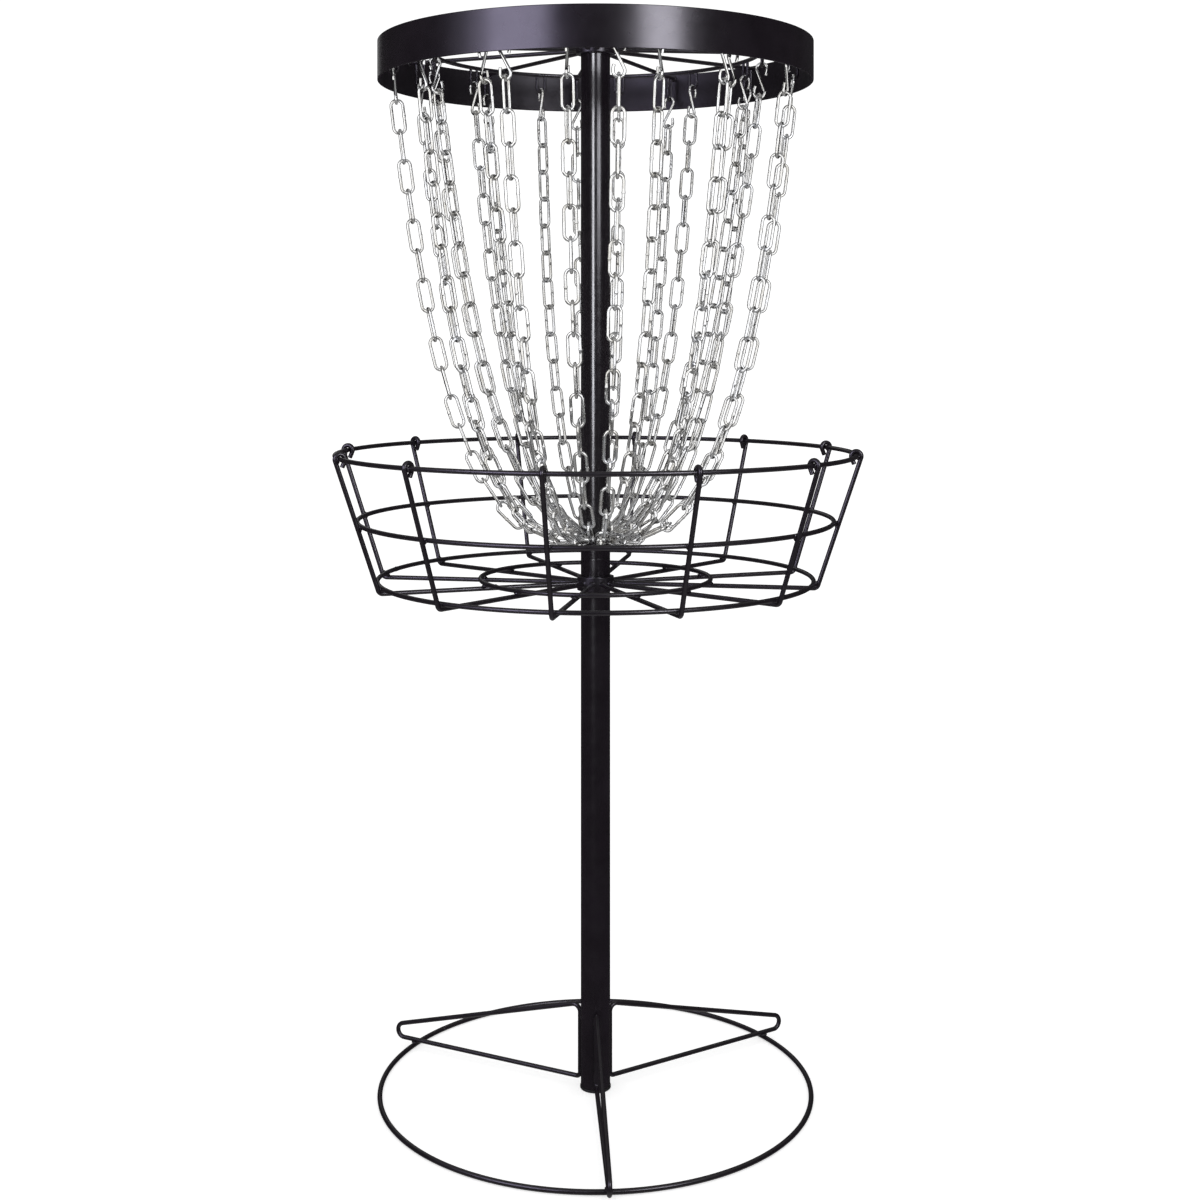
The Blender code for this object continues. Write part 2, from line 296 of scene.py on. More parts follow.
def rounded(corners, radii, steps, closed=False):
    """A line through corners, each rounded to its own radius. A radius of 0 keeps the corner."""
    corners = [Vector(corner) for corner in corners]
    count = len(corners)
    line = []
    for index, radius in enumerate(radii):
        corner = corners[index]
        if radius == 0 or (not closed and index in (0, count - 1)):
            line.append(corner)
            continue
        before = (corners[index - 1] - corner).normalized()
        after = (corners[(index + 1) % count] - corner).normalized()
        half = before.angle(after) / 2
        centre = corner + (before + after).normalized() * (radius / math.sin(half))
        first = corner + before * (radius / math.tan(half)) - centre
        last = corner + after * (radius / math.tan(half)) - centre
        turn = first.angle(last)
        for step in range(steps + 1):
            share = step / steps
            arm = first * math.sin((1 - share) * turn) + last * math.sin(share * turn)
            line.append(centre + arm / math.sin(turn))
    return line


def bead(centre, sizes, seed, turn=Matrix.Identity(3)):
    """A small lump of weld: an ellipsoid whose surface is roughened by noise."""
    ball = bmesh.new()
    bmesh.ops.create_icosphere(ball, subdivisions=3, radius=1.0)
    points = []
    for vertex in ball.verts:
        spot = vertex.co * BEAD_GRAIN + Vector((seed * BEAD_SEED_STEP, 0, 0))
        rough = 1 + BEAD_ROUGHNESS * noise.noise(spot)
        local = Vector(vertex.co[axis] * sizes[axis] * rough for axis in range(3))
        points.append(tuple(Vector(centre) + turn @ local))
    faces = [tuple(vertex.index for vertex in face.verts) for face in ball.faces]
    ball.free()
    return np.array(points), faces


def placed(shell, matrix):
    """The shell moved by a 4x4 matrix."""
    turn = np.array(matrix.to_3x3())
    return shell[0] @ turn.T + np.array(matrix.translation), shell[1]


def turned_about_pole(angle):
    """The 4x4 matrix that turns a shell about the pole by an angle in radians."""
    return Matrix.Rotation(angle, 4, "Z")


def make_piece(name, shells, material, body, slot, *nodes, sharp=40.0):
    """One object from several shells. It rides on a body and stands for the CAD nodes."""
    points = []
    faces = []
    for shell_points, shell_faces in shells:
        offset = len(points)
        points.extend(map(tuple, shell_points))
        faces.extend(tuple(offset + corner for corner in face) for face in shell_faces)
    mesh = bpy.data.meshes.new(name)
    mesh.from_pydata(points, [], faces)
    mesh.materials.append(material)
    mesh.shade_smooth()
    mesh.set_sharp_from_angle(angle=math.radians(sharp))
    piece = bpy.data.objects.new(name, mesh)
    bpy.context.scene.collection.objects.link(piece)
    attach(piece, body)
    if nodes:
        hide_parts(*nodes)
    return piece


# ---------------------------------------------------------------- reading the frame

def node_points(node):
    return np.array([vertex.co for vertex in NODES[node].data.vertices])


def reach_of(node):
    """The smallest and largest distance from the pole's axis."""
    reach = np.hypot(*node_points(node).T[:2])
    return float(reach.min()), float(reach.max())


def ring_size(node):
    """Centreline radius, wire radius and height of a CAD wire ring, or of a tube's wall."""
    inner, outer = reach_of(node)
    low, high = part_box(node)
    return (outer + inner) / 2, (outer - inner) / 2, (low.z + high.z) / 2


def bearing(node):
    """The angle about the pole at which a flat wire piece stands."""
    middle = node_points(node).mean(axis=0)
    return math.atan2(middle[1], middle[0])


def radial(radius, height):
    """A point of the radial plane that wires are drawn in."""
    return Vector((radius, 0.0, height))


# ---------------------------------------------------------------- materials

def map_range(tree, value, start, end, low, high):
    """value mapped from start..end to low..high."""
    node = tree.nodes.new("ShaderNodeMapRange")
    for name, number in (("From Min", start), ("From Max", end), ("To Min", low), ("To Max", high)):
        node.inputs[name].default_value = number
    tree.links.new(value, node.inputs["Value"])
    return node.outputs["Result"]


class Nodes:
    """A material's node tree, with short calls for what the finishes share."""

    def __init__(self, name, metallic=0.0, specular=0.5):
        self.material = bpy.data.materials.new(name)
        self.material.use_nodes = True
        self.tree = self.material.node_tree
        self.shader = self.tree.nodes["Principled BSDF"]
        self.shader.inputs["Metallic"].default_value = metallic
        self.shader.inputs["Specular IOR Level"].default_value = specular
        self.place = self.tree.nodes.new("ShaderNodeTexCoord").outputs["Object"]

    def link(self, source, target):
        self.tree.links.new(source, target)

    def noise(self, scale, detail=2.0, roughness=0.5):
        texture = self.tree.nodes.new("ShaderNodeTexNoise")
        texture.inputs["Scale"].default_value = scale
        texture.inputs["Detail"].default_value = detail
        texture.inputs["Roughness"].default_value = roughness
        self.link(self.place, texture.inputs["Vector"])
        return texture.outputs["Fac"]

    def span(self, value, low, high, start=0.3, end=0.7):
        """value mapped from start..end to low..high."""
        return map_range(self.tree, value, start, end, low, high)

    def blend(self, factor, first, second):
        mix = self.tree.nodes.new("ShaderNodeMix")
        mix.data_type = "RGBA"
        colours = [socket for socket in mix.inputs if socket.type == "RGBA"]
        for socket, value in zip(colours, (first, second)):
            if isinstance(value, tuple):
                socket.default_value = (*value, 1.0)
            else:
                self.link(value, socket)
        self.link(factor, mix.inputs["Factor"])
        return next(socket for socket in mix.outputs if socket.type == "RGBA")

    def bump(self, height, strength, distance, under=None):
        bump = self.tree.nodes.new("ShaderNodeBump")
        bump.inputs["Strength"].default_value = strength
        bump.inputs["Distance"].default_value = distance
        self.link(height, bump.inputs["Height"])
        if under is not None:
            self.link(under, bump.inputs["Normal"])
        return bump.outputs["Normal"]

    def set(self, socket, source):
        self.link(source, self.shader.inputs[socket])

    def upward(self):
        """How much the surface faces up, from 0 to 1."""
        geometry = self.tree.nodes.new("ShaderNodeNewGeometry")
        split = self.tree.nodes.new("ShaderNodeSeparateXYZ")
        self.link(geometry.outputs["Normal"], split.inputs["Vector"])
        return self.span(split.outputs["Z"], 0.0, 1.0, 0.45, 1.0)

    def times(self, first, second):
        product = self.tree.nodes.new("ShaderNodeMath")
        product.operation = "MULTIPLY"
        self.link(first, product.inputs[0])
        self.link(second, product.inputs[1])
        return product.outputs["Value"]


def powder_coat(name, smooth, rough, specular):
    """Baked black powder: a faint orange peel, cloudy gloss, and a little dust on what faces up."""
    dark = (0.0080, 0.0055, 0.0085)
    pale = (0.0130, 0.0095, 0.0140)
    dusty = (0.16, 0.15, 0.15)
    coat = Nodes(name, specular=specular)
    cloud = coat.noise(22.0, 3.0)
    colour = coat.blend(coat.span(cloud, 0.0, 1.0), dark, pale)
    dust = coat.times(coat.upward(), coat.span(coat.noise(700.0, 4.0, 0.7), 0.0, 0.16, 0.5, 0.8))
    coat.set("Base Color", coat.blend(dust, colour, dusty))
    coat.set("Roughness", coat.span(coat.noise(60.0, 4.0), smooth, rough))
    peel = coat.bump(coat.noise(650.0, 1.0), strength=0.25, distance=0.00006)
    coat.set("Normal", coat.bump(coat.noise(2600.0, 2.0), strength=0.15, distance=0.00002, under=peel))
    return coat.material


def plug_plastic(name):
    """Moulded black plastic with a fine matt grain."""
    plastic = Nodes(name, specular=0.35)
    grain = plastic.noise(1800.0, 3.0, 0.6)
    cloud = plastic.span(plastic.noise(90.0), 0.0, 1.0)
    plastic.set("Base Color", plastic.blend(cloud, (0.012, 0.012, 0.013), (0.02, 0.02, 0.021)))
    plastic.set("Roughness", plastic.span(grain, 0.42, 0.62))
    plastic.set("Normal", plastic.bump(grain, strength=0.3, distance=0.00008))
    return plastic.material


def zinc_plate(name):
    """Bright zinc plate: tone and gloss drift from link to link, over fine drawing marks."""
    dark = (0.60, 0.585, 0.55)
    pale = (0.84, 0.85, 0.88)
    marks = (0.42, 0.43, 0.44)
    zinc = Nodes(name, metallic=1.0)
    drift = zinc.noise(38.0, 3.0, 0.6)
    grain = zinc.noise(1500.0, 3.0, 0.65)
    colour = zinc.blend(zinc.span(drift, 0.0, 1.0), dark, pale)
    zinc.set("Base Color", zinc.blend(zinc.span(grain, 0.0, 0.25, 0.45, 0.75), colour, marks))
    zinc.set("Roughness", zinc.span(zinc.noise(120.0, 3.0), 0.08, 0.20))
    zinc.set("Normal", zinc.bump(grain, strength=0.07, distance=0.00004))
    return zinc.material


def floor_paper(name):
    """Matt white studio paper, lit from below."""
    paper = Nodes(name, specular=0.0)
    cloud = paper.span(paper.noise(2.0, 3.0), 0.0, 1.0)
    paper.set("Base Color", paper.blend(cloud, (0.90, 0.90, 0.90), (0.92, 0.92, 0.92)))
    paper.shader.inputs["Roughness"].default_value = 0.95
    paper.shader.inputs["Emission Color"].default_value = (1.0, 1.0, 1.0, 1.0)
    paper.shader.inputs["Emission Strength"].default_value = FLOOR_GLOW
    return paper.material


# ---------------------------------------------------------------- pole

def tube_outline(outer, inner, bottom, top):
    corners = [(outer, top), (outer, bottom), (inner, bottom), (inner, top)]
    return rounded(corners, [TUBE_EDGE] * 4, steps=3, closed=True)


def build_pole(coat):
    """The two tubes, and the paint of the sleeve that joins them."""
    for node in ("lower_pole", "upper_pole"):
        low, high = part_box(node)
        outline = tube_outline(high.x, high.x - POLE_WALL, low.z, high.z)
        make_piece(node + "_tube", [lathe(outline, TURNED_SIDES)], coat, "stand", "pole_coat", node)
    for slot in NODES["pole_coupler"].material_slots:
        slot.material = coat


def build_plugs(plastic):
    """The foot plug and the top cap: a stem inside the tube, and a flange on its end."""
    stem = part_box("lower_pole")[1].x - POLE_WALL - COUPLER_GAP
    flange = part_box("lower_pole")[0].z - GAP
    radii = [0, PLUG_EDGE, 0, PLUG_EDGE / 3, PLUG_EDGE, 0]
    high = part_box("foot_plug")[1]
    foot = [(0, high.z), (stem, high.z), (stem, flange), (high.x, flange), (high.x, 0), (0, 0)]
    body = lathe(rounded(foot, radii, steps=5), TURNED_SIDES)
    make_piece("foot_plug_body", [body], plastic, "stand", "plug_plastic", "foot_plug")
    low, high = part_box("top_cap")
    seat = high.z - flange
    cap = [(0, high.z), (high.x, high.z), (high.x, seat), (stem, seat), (stem, low.z), (0, low.z)]
    body = lathe(rounded(cap, radii[::-1], steps=5), TURNED_SIDES)
    make_piece("top_cap_body", [body], plastic, "stand", "plug_plastic", "top_cap")


# ---------------------------------------------------------------- stand

def leg_loop(pole, low):
    """A rod bent into a long triangle: up the pole, out and down over the base ring, and back to the pole."""
    inside = pole + GAP + LEG_WIRE + LEG_CLEARANCE
    meeting = inside + (LEG_TOP - low) / LEG_SLOPE
    corners = [radial(inside, low), radial(inside, LEG_TOP), radial(meeting, low)]
    path = rounded(corners, [LEG_FOOT_BEND, LEG_TOP_BEND, LEG_END_BEND], steps=18, closed=True)
    return sweep(supported(path, 2 * LEG_WIRE, closed=True), LEG_WIRE, WIRE_SIDES, ASIDE, closed=True)


def build_base_ring(coat):
    radius, wire, height = ring_size("base_ring")
    seam = bead((radius, 0, height), BASE_SEAM, seed=3)
    seam = placed(seam, turned_about_pole(math.radians(BASE_SEAM_BEARING)))
    make_piece("base_hoop", [hoop(radius, wire, height), seam], coat, "stand", "stand_coat", "base_ring")


def build_legs(coat):
    radius, wire, _ = ring_size("base_ring")
    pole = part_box("lower_pole")[1].x
    low = 2 * wire + GAP + LEG_WIRE
    for index in (1, 2, 3):
        node = f"leg_{index}"
        shells = [
            leg_loop(pole, low),
            bead((radius, 0, 2 * wire), LEG_RING_WELD, seed=index),
            bead((pole + WELD_STANDOFF, 0, LEG_TOP - LEG_TOP_WELD_DROP), LEG_TOP_WELD, seed=index + 10),
            bead((pole + WELD_STANDOFF, 0, low + LEG_FOOT_WELD_RISE), LEG_FOOT_WELD, seed=index + 20),
        ]
        turn = turned_about_pole(bearing(node))
        shells = [placed(shell, turn) for shell in shells]
        make_piece(node + "_rod", shells, coat, "stand", "stand_coat", node)


# ---------------------------------------------------------------- basket

def rib_path(rings):
    """From the hub out under the floor rings, up outside the side rings, and over the rim.

    The second result reaches from the middle of a side ring to the place of its weld with the rib.
    """
    rim_radius, wire, rim_height = rings["rim"]
    floor_radius, _, floor_height = rings["floor"]
    hub_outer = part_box("basket_hub")[1].x
    offset = 2 * wire + GAP
    under = floor_height - offset
    rim = radial(rim_radius, rim_height)
    floor = radial(floor_radius, floor_height)
    slant = (rim - floor).normalized()
    outward = Vector((slant.z, 0, -slant.x))
    side = floor + outward * offset
    corner = side - slant * ((side.z - under) / slant.z)
    start_angle = math.atan2(outward.z, outward.x)
    end_angle = math.radians(RIB_HOOK_END)
    hook = []
    for step in range(29):
        angle = start_angle + (end_angle - start_angle) * step / 28
        hook.append(rim + offset * Vector((math.cos(angle), 0, math.sin(angle))))
    onward = Vector((-math.sin(angle), 0, math.cos(angle)))
    hook.append(hook[-1] + onward * RIB_TIP)
    corners = [radial(hub_outer + GAP, under), corner, hook[0]]
    return rounded(corners, [0, offset, 0], steps=12) + hook[1:], outward * (offset / 2)


def build_basket_rings(coat):
    """The four hoops and the hub. The result is the hoops' sizes by name."""
    rings = {}
    for number, name in enumerate(("rim", "middle", "floor", "inner")):
        node = f"basket_{name}_ring"
        rings[name] = ring_size(node)
        radius, wire, height = rings[name]
        seam = bead((radius, 0, height), HOOP_SEAM, seed=number + 30)
        seam_bearing = HOOP_SEAM_BEARING + HOOP_SEAM_STEP * number
        seam = placed(seam, turned_about_pole(math.radians(seam_bearing)))
        shells = [hoop(radius, wire, height), seam]
        make_piece(f"basket_{name}_hoop", shells, coat, "stand", "basket_coat", node)
    low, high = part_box("basket_hub")
    outline = tube_outline(high.x, high.x - HUB_WALL, low.z, high.z)
    collar = lathe(outline, TURNED_SIDES)
    make_piece("basket_hub_collar", [collar], coat, "stand", "basket_coat", "basket_hub")
    return rings


def rib_welds(rings, aside):
    """The welds of one rib with the rings, as (place, sizes, turn): at its side and under the floor."""
    upright = Matrix.Identity(3)
    lean = Matrix.Rotation(math.atan2(aside.z, aside.x), 3, "Y").inverted()
    below = Vector((0, 0, -rings["rim"][1]))
    welds = []
    for name in ("rim", "middle", "floor"):
        welds.append((radial(rings[name][0], rings[name][2]) + aside, RIB_SIDE_WELD, lean))
    for name in ("floor", "inner"):
        welds.append((radial(rings[name][0], rings[name][2]) + below, RIB_FLOOR_WELD, upright))
    return welds


def build_ribs(coat, rings):
    path, aside = rib_path(rings)
    wire = rings["rim"][1]
    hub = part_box("basket_hub")[1].x
    welds = rib_welds(rings, aside)
    for index in range(1, 13):
        node = f"basket_rib_{index:02d}"
        shells = [cut_wire(path, wire, WIRE_SIDES, ASIDE)]
        for number, (place, sizes, turn) in enumerate(welds):
            shells.append(bead(place, sizes, index * 10 + number, turn))
        shells.append(bead((hub, 0, path[0].z), RIB_HUB_WELD, seed=index * 10 + 7))
        turn = turned_about_pole(bearing(node))
        shells = [placed(shell, turn) for shell in shells]
        make_piece(f"basket_wire_{index:02d}", shells, coat, "stand", "basket_coat", node)


# ---------------------------------------------------------------- band and rack

def build_band(outside, inside):
    """The rolled sheet with its welded seam. Its inside is duller than its outside."""
    low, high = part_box("chain_band")
    reach = reach_of("chain_band")[1]
    corners = [(reach, high.z), (reach, low.z), (reach - BAND_SHEET, low.z), (reach - BAND_SHEET, high.z)]
    outline = rounded(corners, [BAND_EDGE] * 4, steps=5, closed=True)
    middle = (low.z + high.z) / 2
    half = (high.z - low.z) / 2 - BAND_SEAM_MARGIN
    seam = bead((reach - BAND_SHEET / 2, 0, middle), (0.0016, 0.0026, half), seed=41)
    seam = placed(seam, turned_about_pole(math.radians(BAND_SEAM_BEARING)))
    sheet = lathe(outline, BAND_SIDES)
    band = make_piece("band_sheet", [sheet, seam], outside, "stand", "band_coat", "chain_band")
    band.data.materials.append(inside)
    for face in band.data.polygons:
        facing_in = face.normal.x * face.center.x + face.normal.y * face.center.y < 0
        face.material_index = 1 if facing_in else 0


def eye_wire(top, bottom, across):
    """A bent wire eye that hangs below the rack: down, round a half circle, and up again."""
    centre = Vector((0, 0, bottom + HANGER_HALF_WIDTH))
    path = [across * -HANGER_HALF_WIDTH + UP * top]
    for step in range(17):
        angle = math.pi * step / 16
        path.append(centre + HANGER_HALF_WIDTH * (across * -math.cos(angle) - UP * math.sin(angle)))
    path.append(across * HANGER_HALF_WIDTH + UP * top)
    return cut_wire(path, HANGER_WIRE, CHAIN_SIDES, across.cross(UP))


def rack_spoke(start, end):
    """A straight level wire, between two distances from the pole's axis."""
    ends = [radial(start, RACK_HEIGHT), radial(end, RACK_HEIGHT)]
    along = [ends[0].lerp(ends[1], step / 6) for step in range(7)]
    return sweep(along, RACK_WIRE, WIRE_SIDES, ASIDE)


def build_rack(coat):
    """The collar, twelve spokes out to the band, the ring under them, and an eye for each chain."""
    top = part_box("chain_rack")[1].z
    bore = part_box("upper_pole")[1].x + GAP
    collar = bore + RACK_COLLAR_WALL
    band = reach_of("chain_band")[1] - BAND_SHEET
    ring_height = RACK_HEIGHT - RACK_RING_DROP
    outer_bearing = bearing("chain_outer_01")
    inner_bearing = bearing("chain_inner_01")
    spoke = rack_spoke(bore + RACK_COLLAR_WALL / 2, band - GAP)
    outer_eye = placed(eye_wire(RACK_HEIGHT, OUTER_HANGER_HEIGHT, OUTWARD),
                       Matrix.Translation((OUTER_HANGER_RADIUS, 0, 0)))
    inner_eye = placed(eye_wire(ring_height, INNER_HANGER_HEIGHT, ASIDE),
                       Matrix.Translation((RACK_RING_RADIUS, 0, 0)))
    welds = [
        ((collar, 0, RACK_HEIGHT), SPOKE_COLLAR_WELD),
        ((band - WELD_STANDOFF, 0, RACK_HEIGHT), SPOKE_BAND_WELD),
        ((RACK_RING_RADIUS, 0, RACK_HEIGHT - RACK_RING_DROP / 2), SPOKE_RING_WELD),
    ]
    outline = tube_outline(collar, bore, 2 * RACK_HEIGHT - top, top)
    shells = [lathe(outline, TURNED_SIDES), hoop(RACK_RING_RADIUS, RACK_WIRE, ring_height, sides=WIRE_SIDES)]
    for index in range(12):
        outer = turned_about_pole(outer_bearing + index * math.pi / 6)
        inner = turned_about_pole(inner_bearing + index * math.pi / 6)
        shells += [placed(spoke, outer), placed(outer_eye, outer), placed(inner_eye, inner)]
        for number, (centre, sizes) in enumerate(welds):
            shells.append(placed(bead(centre, sizes, seed=100 + index * 3 + number), outer))
    make_piece("rack_frame", shells, coat, "stand", "rack_coat", "chain_rack")


# ---------------------------------------------------------------- chains

def hanging_line(start, end, lengths):
    """Points of a hanging chain between two points of the radial plane, at the joints between its pieces."""
    across = end.x - start.x
    rise = end.z - start.z
    target = math.sqrt(sum(lengths) ** 2 - rise ** 2) / across
    low, high = 0.01, 10.0
    for _ in range(60):
        middle = (low + high) / 2
        if math.sinh(middle) / middle < target:
            low = middle
        else:
            high = middle
    size = across / (2 * low)
    lean = math.asinh(rise / (2 * size * math.sinh(low)))
    lowest = (start.x + end.x) / 2 - size * lean
    slope = math.sinh((start.x - lowest) / size)
    floor = start.z - size * math.cosh((start.x - lowest) / size)
    points = [start]
    run = 0.0
    for length in lengths:
        run += length
        spread = math.asinh(slope + run / size)
        points.append(radial(lowest + size * spread, floor + size * math.cosh(spread)))
    return points


def chain_joints(kind, ring_radius, ring_height):
    """The joints of one chain, from its eye down to the chain ring, which sits low in the last links."""
    lengths = [LINK_PITCH] * kind["links"] + [HOOK_REACH]
    eye = radial(kind["radius"], kind["height"])
    heading = OUTWARD
    for _ in range(4):
        aside = Vector((-heading.z, 0, heading.x))
        start = radial(ring_radius, ring_height) - heading * RING_HOLD + aside * RING_SETTLE
        line = hanging_line(start, eye, lengths)
        heading = (line[1] - line[0]).normalized()
    return list(reversed(line))


def link_radius(x, z):
    """The link's wire, which swells at the butt weld in the middle of its +X side."""
    if x > LINK_HALF_WIDTH * 0.999:
        return LINK_WIRE * (1 + LINK_WELD_SWELL * math.exp(-(z / LINK_WELD_REACH) ** 2))
    return LINK_WIRE


def link_shell():
    """One welded link in the XZ plane, its long axis on Z. Its points are close together round the weld."""
    half_length = LINK_PITCH / 2 + LINK_WIRE + LINK_PLAY
    straight = half_length - LINK_HALF_WIDTH
    path = []
    for step in range(11):
        angle = math.pi * step / 10
        path.append((LINK_HALF_WIDTH * math.cos(angle), 0, straight + LINK_HALF_WIDTH * math.sin(angle)))
    for share in (0.55, 0.0, -0.55):
        path.append((-LINK_HALF_WIDTH, 0, straight * share))
    for step in range(11):
        angle = math.pi + math.pi * step / 10
        path.append((LINK_HALF_WIDTH * math.cos(angle), 0, -straight + LINK_HALF_WIDTH * math.sin(angle)))
    for height in (-0.006, -0.0018, -0.0009, 0.0, 0.0009, 0.0018, 0.006):
        path.append((LINK_HALF_WIDTH, 0, height))
    radii = [link_radius(x, z) for x, _, z in path]
    return sweep(path, radii, CHAIN_SIDES, ASIDE, closed=True)


def hook_shell():
    """An S-hook in the XZ plane: two crooks joined by a slanting shank, each closed almost back to it."""
    slant = math.asin(HOOK_CROOK / HOOK_HALF_SPACING)
    lower = [radial(0, 0)]
    for step in range(19):
        angle = slant - (math.pi + slant) * step / 18
        lower.append(radial(HOOK_CROOK * math.cos(angle), HOOK_CROOK * math.sin(angle) - HOOK_HALF_SPACING))
    tip = lower[-1]
    lower.append(tip + Vector((0.0002, 0, HOOK_TIP * 0.5)))
    lower.append(tip + Vector((0.0011, 0, HOOK_TIP)))
    upper = [-point for point in reversed(lower[1:])]
    return cut_wire(upper + lower, HOOK_WIRE, CHAIN_SIDES, ASIDE)


def aim(start, end, sideways):
    """The matrix halfway from start to end: its Z points to start, and its X is nearest to sideways."""
    axis = (start - end).normalized()
    side = (sideways - axis * sideways.dot(axis)).normalized()
    matrix = Matrix((side, axis.cross(side), axis)).transposed().to_4x4()
    matrix.translation = (start + end) / 2
    return matrix


def turned_side(turn, heading):
    """The direction aside, turned about a heading by a number of degrees."""
    return Matrix.Rotation(math.radians(turn), 3, heading) @ ASIDE


def link_turns(kind, dice):
    """How far each link is turned about the chain, in degrees: a right angle apart, with a slow wander."""
    turns = []
    wander = kind["yaw"] + dice.uniform(-YAW_SCATTER, YAW_SCATTER)
    for index in range(kind["links"]):
        left = 1 - index / (kind["links"] - 1)
        turns.append(kind["turn"] + 90 * index + wander * left)
        wander += dice.uniform(-YAW_DRIFT, YAW_DRIFT)
    return turns


def sway_joints(joints, sway):
    """Move the joints aside, most in the middle of the chain."""
    count = len(joints) - 1
    for index, joint in enumerate(joints):
        bulge = math.sin(math.pi * (index / count))
        joint.y = sway * bulge * bulge


def chain_links(joints, kind, link, dice):
    """The links of one chain, each between two of its joints below the hook."""
    shells = []
    for index, turn in enumerate(link_turns(kind, dice)):
        start, end = joints[index + 1], joints[index + 2]
        heading = (start - end).normalized()
        shells.append(placed(link, aim(start, end, turned_side(turn, heading))))
    return shells


def chain_hook(joints, kind, hook, dice):
    """The hook of one chain, hung over its eye and in line with the first two joints."""
    heading = (joints[0] - joints[1]).normalized()
    top = joints[0] + heading * (HANGER_WIRE + HOOK_WIRE)
    bottom = top - heading * 2 * (HOOK_HALF_SPACING + HOOK_CROOK)
    turn = kind["turn"] - 90 + kind["yaw"] * HOOK_SHARE + dice.uniform(-HOOK_SCATTER, HOOK_SCATTER)
    return placed(hook, aim(top, bottom, turned_side(turn, heading)))


def build_chain(name, kind, ring, link, hook, zinc):
    dice = random.Random(name)
    joints = chain_joints(kind, ring[0], ring[2])
    sway_joints(joints, dice.uniform(-CHAIN_SWAY, CHAIN_SWAY))
    about = turned_about_pole(bearing(name))
    links = [placed(shell, about) for shell in chain_links(joints, kind, link, dice)]
    make_piece(name + "_links", links, zinc, name, "chain_zinc", name)
    shell = placed(chain_hook(joints, kind, hook, dice), about)
    make_piece(name + "_hook", [shell], zinc, name, "chain_zinc")


def build_chain_ring(zinc):
    """The loose ring that gathers the chains, its seam between two of them. The result is its size."""
    ring = ring_size("chain_ring")
    between = (bearing("chain_outer_01") + bearing("chain_inner_01")) / 2
    seam = placed(bead((ring[0], 0, ring[2]), RING_SEAM, seed=55), turned_about_pole(between))
    loop = hoop(*ring, segments=72, sides=WIRE_SIDES)
    make_piece("chain_ring_hoop", [loop, seam], zinc, "chain_ring", "ring_zinc", "chain_ring")
    return ring


def build_chains(zinc):
    ring = build_chain_ring(zinc)
    link = link_shell()
    hook = hook_shell()
    for label, kind in CHAINS.items():
        for index in range(1, 13):
            build_chain(f"chain_{label}_{index:02d}", kind, ring, link, hook, zinc)


# ---------------------------------------------------------------- studio

def build_camera():
    lens = bpy.data.cameras.new("camera")
    lens.lens = LENS
    lens.sensor_width = 36.0
    lens.shift_x, lens.shift_y = LENS_SHIFT
    lens.clip_end = 100.0
    camera = bpy.data.objects.new("camera", lens)
    camera.location = (0.0, -CAMERA_DISTANCE, CAMERA_HEIGHT)
    camera.rotation_euler = (math.radians(90), 0, 0)
    bpy.context.scene.collection.objects.link(camera)
    bpy.context.scene.camera = camera


def build_floor():
    mesh = bpy.data.meshes.new("studio_floor")
    corners = [(-FLOOR_HALF, -FLOOR_HALF, 0), (FLOOR_HALF, -FLOOR_HALF, 0),
               (FLOOR_HALF, FLOOR_HALF, 0), (-FLOOR_HALF, FLOOR_HALF, 0)]
    mesh.from_pydata(corners, [], [(0, 1, 2, 3)])
    mesh.materials.append(floor_paper("studio_paper"))
    floor = bpy.data.objects.new("studio_floor", mesh)
    floor.visible_glossy = False
    bpy.context.scene.collection.objects.link(floor)


def softbox(name, receivers, azimuth, bottom, top, width, radiance, tint=(1.0, 1.0, 1.0), distance=2.6):
    """An upright area light at an azimuth about the pole, where 0 is in front of it and 90 to its right.

    It shows in the gloss of its receivers only, as a lamp behind flags and screens does.
    """
    light = bpy.data.lights.new(name, "AREA")
    light.shape = "RECTANGLE"
    light.size = width
    light.size_y = top - bottom
    light.energy = radiance * math.pi * width * (top - bottom)
    light.color = tint
    lamp = bpy.data.objects.new(name, light)
    angle = math.radians(azimuth)
    lamp.location = (distance * math.sin(angle), -distance * math.cos(angle), (bottom + top) / 2)
    lamp.rotation_euler = (math.radians(90), 0, angle)
    lamp.visible_camera = False
    lamp.visible_diffuse = False
    lamp.light_linking.receiver_collection = receivers
    bpy.context.scene.collection.objects.link(lamp)


def background(tree, strength):
    """A white background whose strength is a number or a socket."""
    node = tree.nodes.new("ShaderNodeBackground")
    node.inputs["Color"].default_value = (1.0, 1.0, 1.0, 1.0)
    if isinstance(strength, float):
        node.inputs["Strength"].default_value = strength
    else:
        tree.links.new(strength, node.inputs["Strength"])
    return node.outputs["Background"]


def either(tree, choice, first, second):
    """The first shader where choice is 0, and the second where it is 1."""
    mix = tree.nodes.new("ShaderNodeMixShader")
    tree.links.new(choice, mix.inputs["Fac"])
    tree.links.new(first, mix.inputs[1])
    tree.links.new(second, mix.inputs[2])
    return mix.outputs["Shader"]


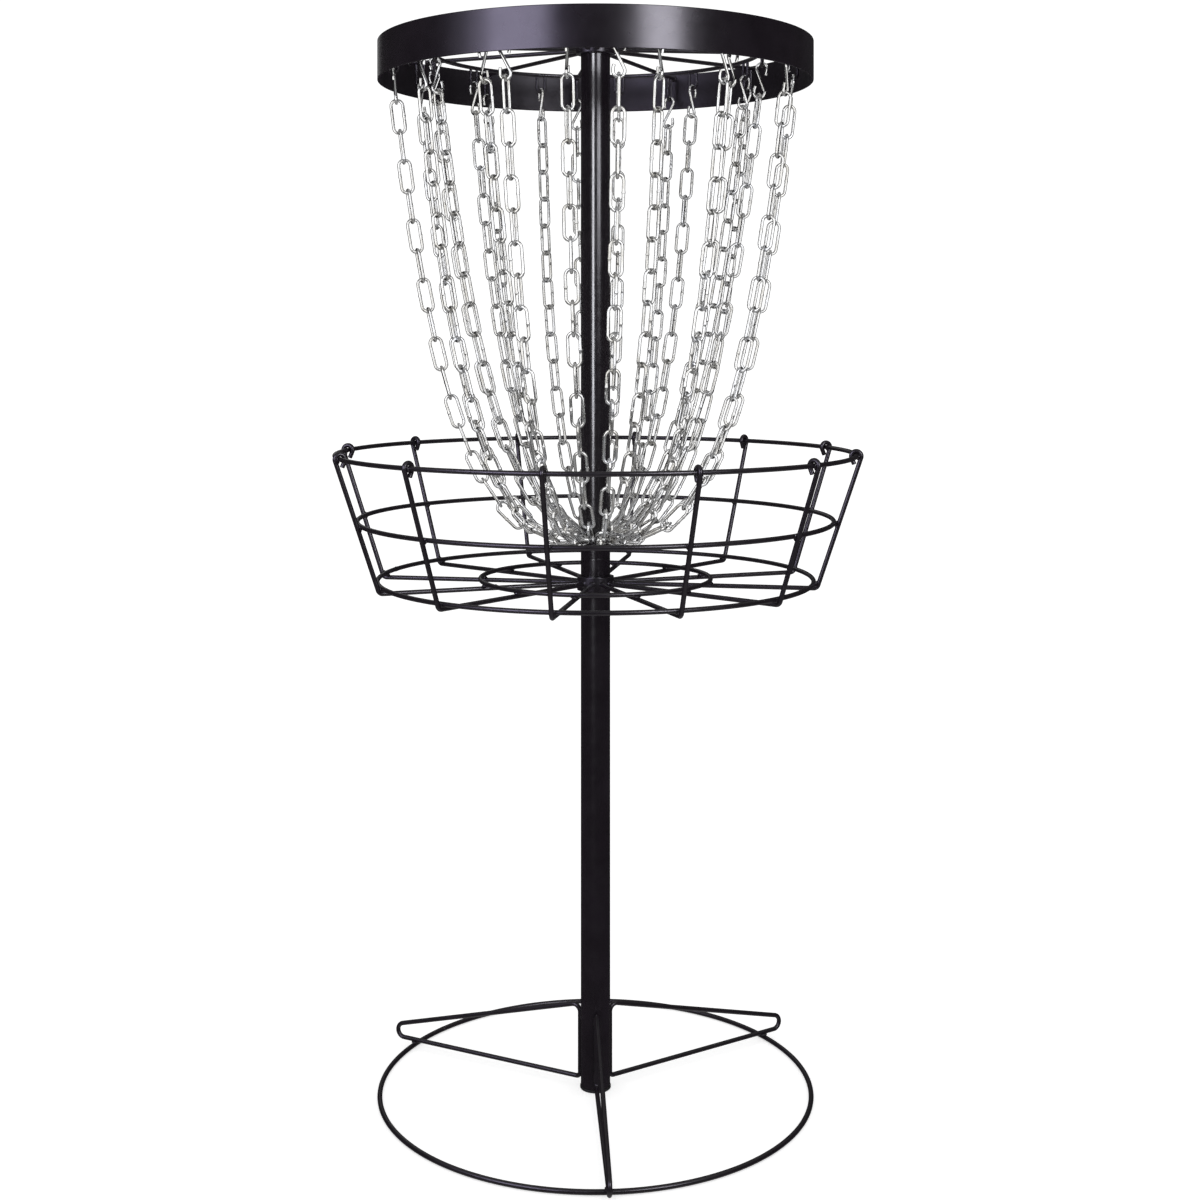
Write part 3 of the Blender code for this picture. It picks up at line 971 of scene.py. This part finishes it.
def build_world():
    """A white room. Reflections see it dim at its sides and paler above and below, and see the softboxes."""
    world = bpy.data.worlds.new("studio")
    bpy.context.scene.world = world
    world.use_nodes = True
    tree = world.node_tree
    place = tree.nodes.new("ShaderNodeTexCoord")
    split = tree.nodes.new("ShaderNodeSeparateXYZ")
    tree.links.new(place.outputs["Generated"], split.inputs["Vector"])
    ray = tree.nodes.new("ShaderNodeLightPath")
    steep = tree.nodes.new("ShaderNodeMath")
    steep.operation = "ABSOLUTE"
    tree.links.new(split.outputs["Z"], steep.inputs[0])
    dimmed = background(tree, map_range(tree, steep.outputs["Value"], 0.4, 0.9, DIM_LIGHT, STEEP_LIGHT))
    light = either(tree, ray.outputs["Is Glossy Ray"], background(tree, FILL_LIGHT), dimmed)
    light = either(tree, ray.outputs["Is Camera Ray"], light, background(tree, ROOM_LIGHT))
    tree.links.new(light, tree.nodes["World Output"].inputs["Surface"])


def pieces_of(name, keep):
    """A collection, used only for light linking, of the mesh pieces that pass a test of their names."""
    group = bpy.data.collections.new(name)
    for thing in bpy.context.scene.objects:
        if thing.type == "MESH" and keep(thing.name):
            group.objects.link(thing)
    return group


def light_paint(paint):
    """Strips of gloss down the black band, wires and collars."""
    softbox("strip_left", paint, -37, bottom=0.78, top=2.3, width=1.40, radiance=9.0, tint=VIOLET)
    softbox("strip_left_edge", paint, -56, bottom=1.05, top=2.3, width=0.65, radiance=3.0, tint=VIOLET)
    softbox("strip_left_end", paint, -68, bottom=1.05, top=2.3, width=0.60, radiance=0.8, tint=PALE_VIOLET)
    softbox("strip_right", paint, 31.3, bottom=1.05, top=2.3, width=0.84, radiance=17.5, tint=COOL_WHITE)
    softbox("strip_back", paint, -163, bottom=1.2, top=2.6, width=1.2, radiance=0.4)


def light_tubes(tubes):
    """A fine line of gloss down the pole's left, and a broader, fainter one at the top of its right."""
    softbox("strip_pole_left", tubes, -17.5, bottom=0.6, top=2.3, width=0.66, radiance=20.0, tint=PALE_BLUE)
    softbox("strip_pole_right", tubes, 27, bottom=1.25, top=2.3, width=1.20, radiance=10.0, tint=PALE_LILAC)


def light_zinc(zinc):
    """Broad pale screens, which the bright metal mirrors."""
    softbox("screen_left", zinc, -36, bottom=-0.5, top=3.0, width=2.5, radiance=2.0)
    softbox("screen_right", zinc, 36, bottom=-0.5, top=3.0, width=2.5, radiance=2.0)
    softbox("screen_back", zinc, 180, bottom=0.0, top=3.0, width=1.6, radiance=1.2)


def build_lights():
    """Each finish has its own lamps, as on a set where flags keep each lamp off the rest."""
    chains = ("chain_outer", "chain_inner", "chain_ring")
    zinc = pieces_of("zinc_pieces", lambda name: name.startswith(chains))
    tubes = pieces_of("pole_tubes", lambda name: name.endswith("_tube"))
    paint = pieces_of("painted_pieces", lambda name: name not in zinc.objects and name not in tubes.objects)
    light_paint(paint)
    light_tubes(tubes)
    light_zinc(zinc)


def main():
    bpy.context.scene.view_settings.view_transform = "Standard"
    build_camera()
    build_floor()
    build_world()
    pole_coat = powder_coat("pole_powder", smooth=0.16, rough=0.24, specular=0.55)
    wire_coat = powder_coat("wire_powder", smooth=0.26, rough=0.36, specular=0.45)
    band_coat = powder_coat("band_powder", smooth=0.24, rough=0.275, specular=0.38)
    band_inside = powder_coat("band_inside_powder", smooth=0.42, rough=0.50, specular=0.30)
    plastic = plug_plastic("plug_plastic")
    zinc = zinc_plate("bright_zinc")
    build_pole(pole_coat)
    build_plugs(plastic)
    build_base_ring(wire_coat)
    build_legs(wire_coat)
    rings = build_basket_rings(wire_coat)
    build_ribs(wire_coat, rings)
    build_band(band_coat, band_inside)
    build_rack(wire_coat)
    build_chains(zinc)
    build_lights()


main()
